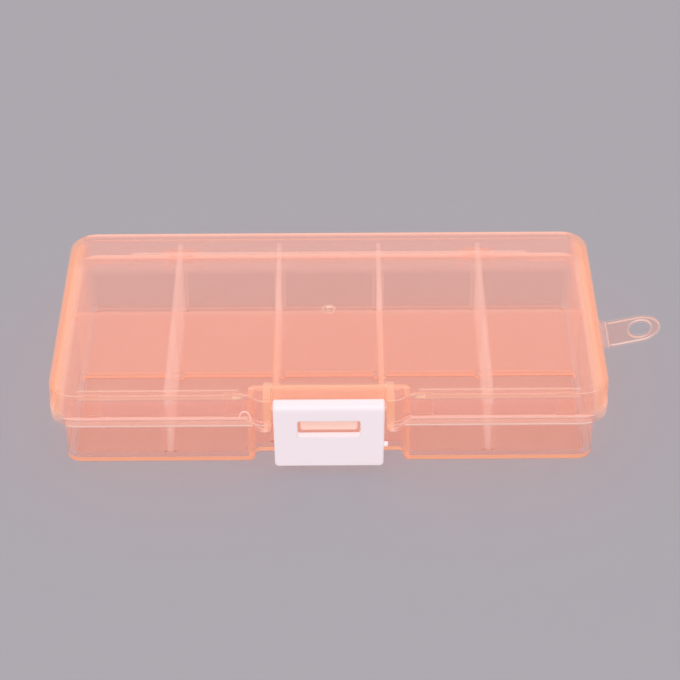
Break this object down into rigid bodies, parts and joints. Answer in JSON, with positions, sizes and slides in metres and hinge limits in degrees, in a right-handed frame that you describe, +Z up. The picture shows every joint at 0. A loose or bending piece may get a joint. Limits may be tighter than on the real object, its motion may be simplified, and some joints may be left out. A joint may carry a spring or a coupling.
{
  "type": "compartment storage box",
  "caption": "Flat hinged storage box with rows of small compartments, lift-out dividers, a front latch and a folding hang tab.",
  "frame": {"origin": "centre of the tray's underside", "axes": "+X along the length towards the hang tab, +Y towards the hinge, +Z up; the latch faces -Y"},
  "size_m": [0.1438, 0.0709, 0.022],
  "materials": {
    "tray_plastic": "translucent orange, glossy",
    "lid_plastic": "translucent orange-pink, glossy",
    "divider_plastic": "translucent orange-pink, glossy",
    "tab_plastic": "translucent pale orange-pink, glossy",
    "latch_plastic": "opaque white, satin gloss"
  },
  "bodies": {
    "tray": {"tray": "tray_plastic", "divider_back_1": "divider_plastic", "divider_back_2": "divider_plastic", "divider_back_3": "divider_plastic", "divider_back_4": "divider_plastic", "divider_front_1": "divider_plastic", "divider_front_2": "divider_plastic", "divider_front_3": "divider_plastic", "divider_front_4": "divider_plastic"},
    "lid": {"lid": "lid_plastic"},
    "latch": {"latch": "latch_plastic"},
    "hang_tab": {"hang_tab": "tab_plastic"}
  },
  "joints": [
    {"name": "lid_hinge", "type": "hinge", "parent": "tray", "child": "lid", "pos_m": [0, 0.0342, 0.01365], "axis": [-1, 0, 0], "range_deg": [0, 180]},
    {"name": "latch_hinge", "type": "hinge", "parent": "lid", "child": "latch", "pos_m": [0, -0.0329, 0.0185], "axis": [-1, 0, 0], "range_deg": [0, 110]},
    {"name": "tab_hinge", "type": "hinge", "parent": "tray", "child": "hang_tab", "pos_m": [0.06741, 0.0007, 0.0133], "axis": [0, 1, 0], "range_deg": [-76, 100]}
  ]
}
